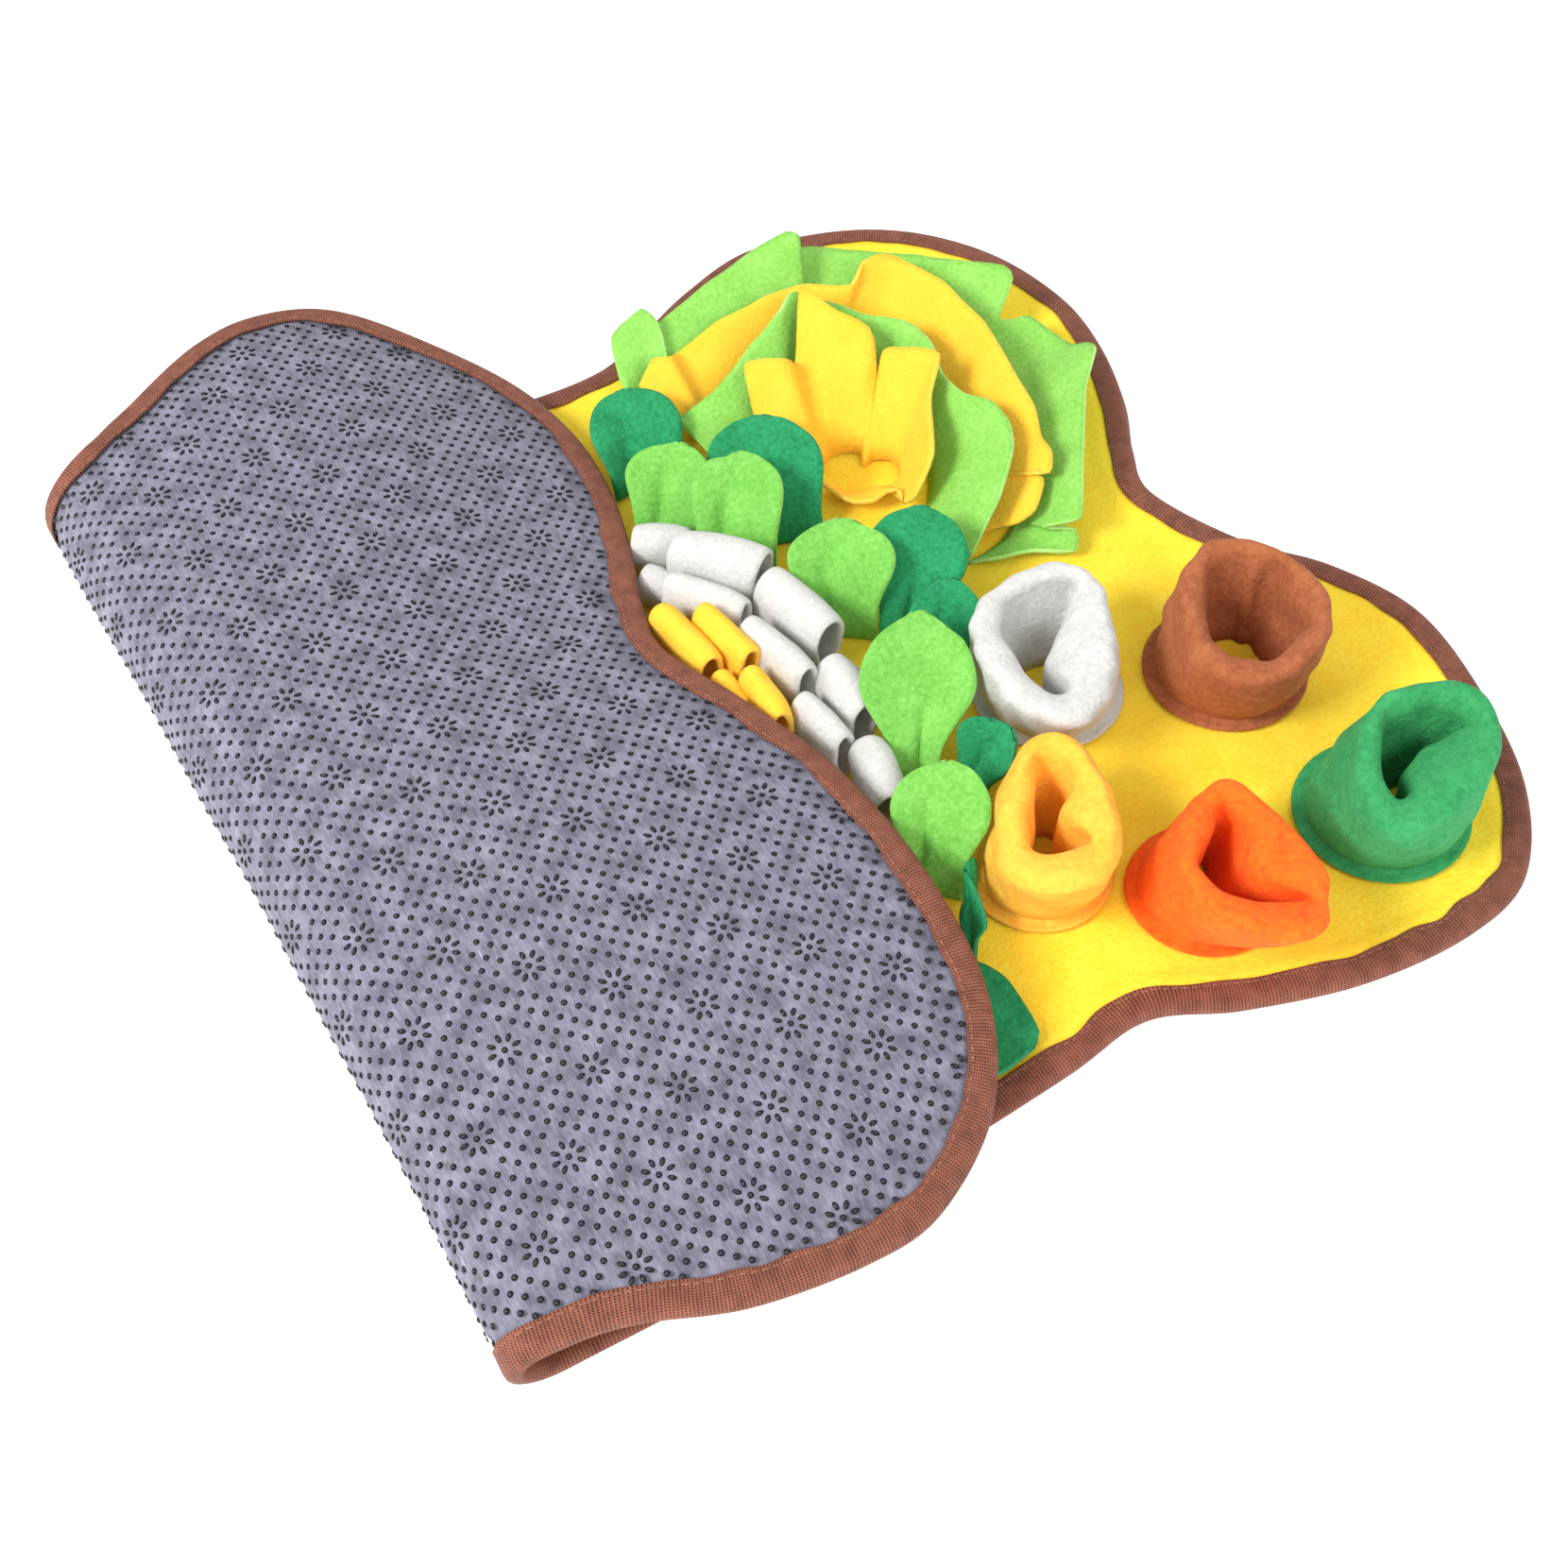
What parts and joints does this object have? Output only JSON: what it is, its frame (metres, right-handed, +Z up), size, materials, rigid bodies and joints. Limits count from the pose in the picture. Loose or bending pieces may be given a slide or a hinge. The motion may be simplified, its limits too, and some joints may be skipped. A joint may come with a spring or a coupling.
{
  "type": "snuffle mat",
  "caption": "Folded felt-backed fleece mat with four rounded lobes and a taped edge, carrying fleece petals, loops, a pleated rosette and short open tubes for hiding dry food",
  "frame": {"origin": "middle of the underside of the bounding box, on the surface the mat lies on", "axes": "+Z up, +Y across the mat along the fold, +X from the fold towards the free lobes"},
  "size_m": [0.4185, 0.471, 0.05],
  "materials": {
    "needled_felt": "needled felt with raised anti-slip dots",
    "orange_fleece": "short brushed fleece",
    "woven_tape": "ribbed woven binding tape",
    "dark_green_fleece": "short brushed fleece",
    "light_green_fleece": "short brushed fleece",
    "white_fleece": "short brushed fleece",
    "yellow_fleece": "short brushed fleece",
    "tube_white_fleece": "short brushed fleece",
    "tube_brown_fleece": "short brushed fleece",
    "tube_green_fleece": "short brushed fleece",
    "tube_yellow_fleece": "short brushed fleece",
    "tube_orange_fleece": "short brushed fleece"
  },
  "bodies": {
    "root": {"felt_backing": "needled_felt", "fleece_panel": "orange_fleece", "binding": "woven_tape", "petal_dark_1": "dark_green_fleece", "petal_dark_2": "dark_green_fleece", "petal_dark_3": "dark_green_fleece", "petal_dark_4": "dark_green_fleece", "petal_dark_5": "dark_green_fleece", "petal_dark_6": "dark_green_fleece", "petal_dark_7": "dark_green_fleece", "petal_dark_8": "dark_green_fleece", "petal_dark_9": "dark_green_fleece", "petal_dark_10": "dark_green_fleece", "petal_dark_11": "dark_green_fleece", "petal_light_1": "light_green_fleece", "petal_light_2": "light_green_fleece", "petal_light_3": "light_green_fleece", "petal_light_4": "light_green_fleece", "petal_light_5": "light_green_fleece", "petal_light_6": "light_green_fleece", "petal_light_7": "light_green_fleece", "petal_light_8": "light_green_fleece", "petal_light_9": "light_green_fleece", "loop_white_1": "white_fleece", "loop_white_2": "white_fleece", "loop_white_3": "white_fleece", "loop_white_4": "white_fleece", "loop_white_5": "white_fleece", "loop_white_6": "white_fleece", "loop_white_7": "white_fleece", "loop_white_8": "white_fleece", "loop_white_9": "white_fleece", "loop_white_10": "white_fleece", "loop_white_11": "white_fleece", "loop_yellow_1": "yellow_fleece", "loop_yellow_2": "yellow_fleece", "loop_yellow_3": "yellow_fleece", "loop_yellow_4": "yellow_fleece", "loop_yellow_5": "yellow_fleece", "rosette_lime_outer": "light_green_fleece", "rosette_yellow_outer": "yellow_fleece", "rosette_lime_inner": "light_green_fleece", "rosette_yellow_inner": "yellow_fleece", "rosette_lime_end": "light_green_fleece", "tube_white": "tube_white_fleece", "tube_brown": "tube_brown_fleece", "tube_green": "tube_green_fleece", "tube_yellow": "tube_yellow_fleece", "tube_orange": "tube_orange_fleece"}
  },
  "joints": []
}
